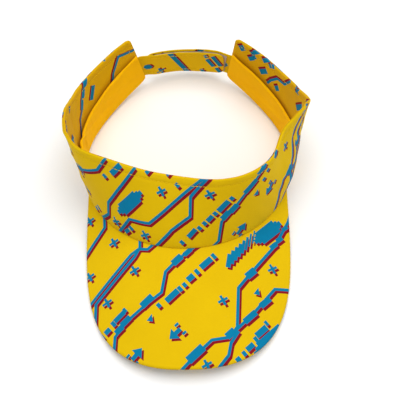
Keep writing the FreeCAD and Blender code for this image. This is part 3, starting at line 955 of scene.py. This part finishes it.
# the brim: two cloth covers over a board, turned in at the edge
outline, rows = brimCut()
for name, under, shapes in (("top", False, topBrim), ("under", True, underBrim)):
    cover = clothSheet("brim_" + name + "_cloth", outline, brimFace(under), shapes,
                       brim["clothThickness"], printInks, -1 if under else 1, rows=rows)
    finishPiece(cover, ["brim_" + name + "_cover"], "front")

# the covers' turned-in edges fill the rim between them
outer, inner = brimEdge(1.1, 160), brimEdge(2.7, 160)
keep = outer[:, 1] < -brim["sideStart"] - 2
rings = []
for p, q in zip(outer[keep], inner[keep]):
    zp, zq = brimHeight(p[0], p[1]), brimHeight(q[0], q[1])
    rings.append([(p[0], p[1], zp - 1.2), (p[0], p[1], zp - 2.2), (q[0], q[1], zq - 2.7),
                  (q[0], q[1], zq - 0.7)])
points, faces = sweep(rings)
turnedEdge = addMesh("brim_turned_edge", points, faces, [yellowCloth], None, points[:, :2])
finishPiece(turnedEdge, ["brim_edge_seam_allowance"], "front")
print("brim done")

# the brim's seam allowance stands up inside the band, behind the sweatband
s = np.linspace(-templeLength + 1.5, templeLength - 1.5, 200)
foot = footHeight(s, 2.6)
high = np.stack([s, foot + hidden["allowanceHeight"]], 1)
outline = np.concatenate([np.stack([s, foot + 0.1], 1), high[::-1]])
allowance = clothSheet(
    "brim_seam_allowance_cloth", outline, bandLayer(hidden["allowanceDepth"]), [],
    hidden["allowanceThickness"], [yellowCloth], 1, spacing=4.0)
finishPiece(allowance, ["brim_seam_allowance"], "front")


def sweatbandPoint(s, t, depth):
    # leans inwards towards its top, wrinkles on its inner face and pinches at its stitching
    low, high = sweatbandBottom(s), sweatbandTop(s)
    share = np.clip((t - low) / (high - low), 0, 1)
    side = np.where(s < 0, -1.0, 1.0)
    face = smoothStep((depth - sweatband["depth"] - 0.6) / (sweatband["thickness"] - 0.6))
    end = smoothStep((endLength - np.abs(s)) / 15)
    lean = sweatband["lean"] * share ** 1.5 * (0.7 + 0.3 * np.sin(s / 37.0 + side)) * end
    coarse = np.sin(s / 5.3 + 2.2 * np.sin(t / 7.0) + side) * np.sin(s / 19.0 + 0.7)
    fine = np.sin(s / 2.9 + t / 3.1) * np.sin(s / 13.0 + t / 9.0)
    wrinkle = sweatband["wrinkle"] * coarse + sweatband["fineWrinkle"] * fine
    wrinkle = wrinkle + creasePush(s, t, sweatband["creases"])
    groove = sweatband["groove"] * hump(t - low, sweatband["stitchHeight"], 1.1)
    return bandPoint(s, t, depth + lean + (wrinkle * smoothStep(share * 3) - groove) * face)


def sweatbandRing(s):
    # the pad's outline across the band, as depths and heights
    low, high = float(sweatbandBottom(np.array([s]))[0]), float(sweatbandTop(np.array([s]))[0])
    r = sweatband["round"]
    near, far = sweatband["depth"], sweatband["depth"] + sweatband["thickness"]
    corner = [(0, 1), (0.3, 0.3), (1, 0)]
    ring = [(near + r * a, low + r * b) for a, b in corner[::-1]]
    ring += [(near, low + (high - low) * k) for k in (0.25, 0.5, 0.75)]
    ring += [(near + r * a, high - r * b) for a, b in corner]
    ring += [(far - r * a, high - r * b) for a, b in corner[::-1]]
    ring += [(far, high - r - (high - low - 2 * r) * k / 18) for k in range(1, 18)]
    ring += [(far - r * a, low + r * b) for a, b in corner]
    return ring


sweatbandFar = sweatband["depth"] + sweatband["thickness"]
padEnd = endLength - sweatband["endGap"]
padPlaces = np.concatenate([np.arange(0, padEnd - 1.1, 1.5), [padEnd - 0.7, padEnd - 0.2, padEnd]])
padPinch = np.concatenate([np.zeros(len(padPlaces) - 2), [0.25, sweatband["pinch"]]])
for hand, name in halves.items():
    rings, flat = [], []
    for place, pinch in zip(padPlaces, padPinch):
        ring = np.array(sweatbandRing(place))
        middle = (sweatband["depth"] + sweatbandFar) / 2
        depth = middle + (ring[:, 0] - middle) * (1 - pinch)
        rings.append(sweatbandPoint(np.full(len(ring), place * hand), ring[:, 1], depth))
        flat += [(place * hand, depth + t) for depth, t in ring]
    pad = addMesh(name + "_sweatband_pad", *sweep(rings), [sweatCloth], None, flat)
    finishPiece(pad, bandNodes(hand, "sweatband"), hand=hand)
print("sweatbands done")


def sweatbandFace(flat):
    return sweatbandPoint(flat[:, 0], flat[:, 1], sweatbandFar)


for hand, name in halves.items():
    s = np.arange(0.4, endLength - 4.5, 1.0) * hand
    high = np.stack([s, topHeight(s) - band["stitchDistance"]], 1)
    outside, inside = bandFace(0.0, 1), bandFace(band["thickness"], -1)
    stitchRow(name + "_top_stitches", outside, high, 1, bandNodes(hand, "top_stitching"), hand=hand)
    stitchRow(name + "_lining_stitches", inside, high, -1, hand=hand)

    s = np.arange(0.4, endLength - 3.0, 1.0) * hand
    low = np.stack([s, sweatbandBottom(s) + sweatband["stitchHeight"]], 1)
    stitchRow(name + "_sweatband_stitches", sweatbandFace, low, -1,
              bandNodes(hand, "sweatband_stitching"), hand=hand)

    place = endLength - seam["endDistance"]
    t = np.arange(2.0, float(topHeight(place)) - band["stitchDistance"], 0.5)
    end = np.stack([np.full(len(t), place * hand), t], 1)
    wing = name + "_wing"
    stitchRow(name + "_end_stitches_outside", outside, end, 1, [wing + "_end_stitching"], wing)
    seen = end[t > 33.5]  # the sweatband hides the rest of the row inside
    stitchRow(name + "_end_stitches_inside", inside, seen, -1, (), wing)

    low, high = hidden["rootMargin"], hidden["rootTop"]
    start, last = (endLength - hidden["rootLength"]) * hand, (endLength - low) * hand
    outline = [(start, low), (last, low), (last, high), (start, high)]
    root = clothSheet(name + "_strap_root_cloth", outline, bandLayer(hidden["rootDepth"]), [],
                      hidden["rootThickness"], [yellowCloth])
    finishPiece(root, [wing + "_strap_root"], wing)
print("band stitches done")

# the straps: the left wing's lies inside, with loop tape, the right wing's outside, with hooks
strapMarks = printShapes(strapPrint, blueToRed["strap"])
middle = strap["rootDepth"] - band["thickness"] / 2
half = strap["thickness"] / 2
for hand, body, tape in ((-1, "inner_strap", "loop"), (1, "outer_strap", "hook")):
    wing = halves[hand] + "_wing"
    shift = middle + hand * strap["shift"]
    outline = strapOutline()
    edge = densify(outline, 0.6)

    def printedFace(flat):
        # the printed side, thinner at the cut edge
        near = np.clip(1 - edgeDistance(flat, edge) / 0.5, 0, 1)
        depth = hand * half * (1 - 0.75 * near ** 2)
        return strapPoint(flat[:, 0], flat[:, 1], depth, hand, shift)
    webbing = clothSheet(body + "_cloth", outline, printedFace, strapMarks, strap["thickness"],
                         printInks, 1, spacing=2.5, bothSides=True)
    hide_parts(body)
    hinge = strapPoint(np.array([-0.6, 1.6]), np.array([12.0, 12.0]), 0.0, hand, shift) * mm
    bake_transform(webbing)

    first, last = strap["tapeStart"], strapLength - strap["tapeTipGap"]
    low, high = strap["tapeMargin"], strap["height"] - strap["tapeMargin"]
    outline = [(first, low), (last, low), (last, high), (first, high)]
    # the tape lies on the strap's other side
    offset = -hand * (half + strap["tapeGap"] + strap["tapeThickness"])
    tapePiece = clothSheet(body + "_" + tape + "_tape_cloth", outline,
                           strapFace(offset, hand, shift), [], strap["tapeThickness"],
                           [tapeCloth], -1, spacing=3.5)
    finishPiece(tapePiece, [body + "_" + tape + "_tape"], body)

    border = strap["stitchMargin"]
    u = np.arange(first + border, last - border, 1.0)
    for label, v in (("upper", high - border), ("lower", low + border)):
        flat = np.stack([u, np.full(len(u), v)], 1)
        nodes = [body + "_stitching"] if label == "upper" else ()
        stitchRow(body + "_stitches_" + label, strapFace(hand * half, hand, shift), flat, 1,
                  nodes, body)
print("straps done")

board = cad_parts["brim_board"]
board.data.materials.clear()
board.data.materials.append(boardPlastic)

view = {"target": (10.3, -46.6, 20.0), "elevation": 61.77, "azimuth": 1.829, "roll": -3.136,
        "distance": 610.0, "lens": 69.04}
tilt, around, roll = [math.radians(view[key]) for key in ("elevation", "azimuth", "roll")]
place = (Matrix.Translation(Vector(view["target"]) * mm) @ Matrix.Rotation(around, 4, "Z")
         @ Matrix.Rotation(math.pi / 2 - tilt, 4, "X") @ Matrix.Rotation(roll, 4, "Z")
         @ Matrix.Translation((0, 0, view["distance"] * mm)))
camera = bpy.data.objects.new("camera", bpy.data.cameras.new("camera"))
camera.data.lens = view["lens"]
camera.data.sensor_width = 36
camera.data.clip_start = 0.01
camera.matrix_world = place
bpy.context.scene.collection.objects.link(camera)
bpy.context.scene.camera = camera


def floorMaterial():
    # matt paint, very slightly uneven
    material, tree = emptyMaterial("PaintedTableWhite")
    place = addNode(tree, "TexCoord", output="Object")
    cloud = addNode(tree, "TexNoise", place, Scale=6.0, Detail=2.0)
    colour = addMix(tree, cloud, hexColour("#f6f6f6"), hexColour("#fbfbfb"))
    addNode(tree, "OutputMaterial", addNode(tree, "BsdfPrincipled", colour, Roughness=0.9))
    return material


floorSize, floorHeight = 6000, -0.6
corners = [(x, y, floorHeight) for x, y in block(0, 0, floorSize, floorSize, 0)]
floor = addMesh("floor", corners, [[0, 1, 2, 3]], [floorMaterial()], None,
                np.array(corners)[:, :2])

lamps = {
    "overhead": {"place": (0.1, 0.3, 1.5), "size": 1.4, "power": 19.0},
    "front_left": {"place": (-1.0, -0.9, 1.0), "size": 1.0, "power": 2.5},
    "right": {"place": (1.1, -0.3, 1.0), "size": 1.0, "power": 2.5},
}
for name, lamp in lamps.items():
    data = bpy.data.lights.new(name, "AREA")
    data.size = lamp["size"]
    data.energy = lamp["power"]
    light = bpy.data.objects.new(name, data)
    light.location = lamp["place"]
    aim = Vector((0, -0.03, 0)) - light.location
    light.rotation_euler = aim.to_track_quat("-Z", "Y").to_euler()
    bpy.context.scene.collection.objects.link(light)

world = bpy.data.worlds.new("studio")
world.use_nodes = True
world.node_tree.nodes["Background"].inputs[0].default_value = (1, 1, 1, 1)
world.node_tree.nodes["Background"].inputs[1].default_value = 0.5
bpy.context.scene.world = world
bpy.context.scene.view_settings.view_transform = "Standard"
print("camera, floor and light done")
